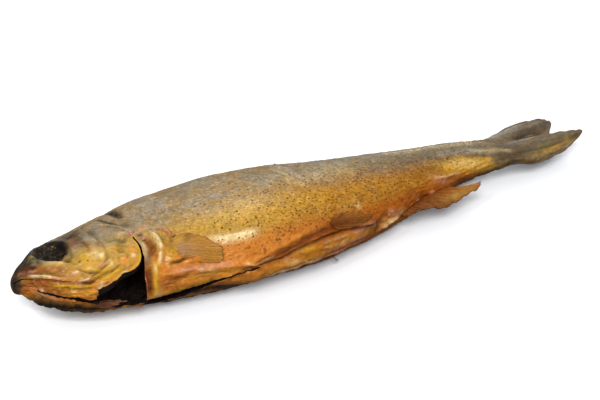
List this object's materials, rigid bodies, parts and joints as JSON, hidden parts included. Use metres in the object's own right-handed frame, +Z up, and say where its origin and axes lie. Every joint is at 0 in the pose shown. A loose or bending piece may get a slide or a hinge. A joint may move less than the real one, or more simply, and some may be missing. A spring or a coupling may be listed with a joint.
{
  "type": "smoked fish",
  "caption": "Whole hot-smoked trout, gutted, lying on its right side with its gill opening and belly slit open and its fins folded back.",
  "frame": {"origin": "middle of the fish's box, on the surface that it lies on", "axes": "+X towards the tail, +Y towards the back, +Z up, out of the fish's left side"},
  "size_m": [0.359, 0.0904, 0.043],
  "materials": {
    "skin": "oily satin, gold to brown"
  },
  "bodies": {
    "root": {"smoked_fish": "skin"}
  },
  "joints": []
}
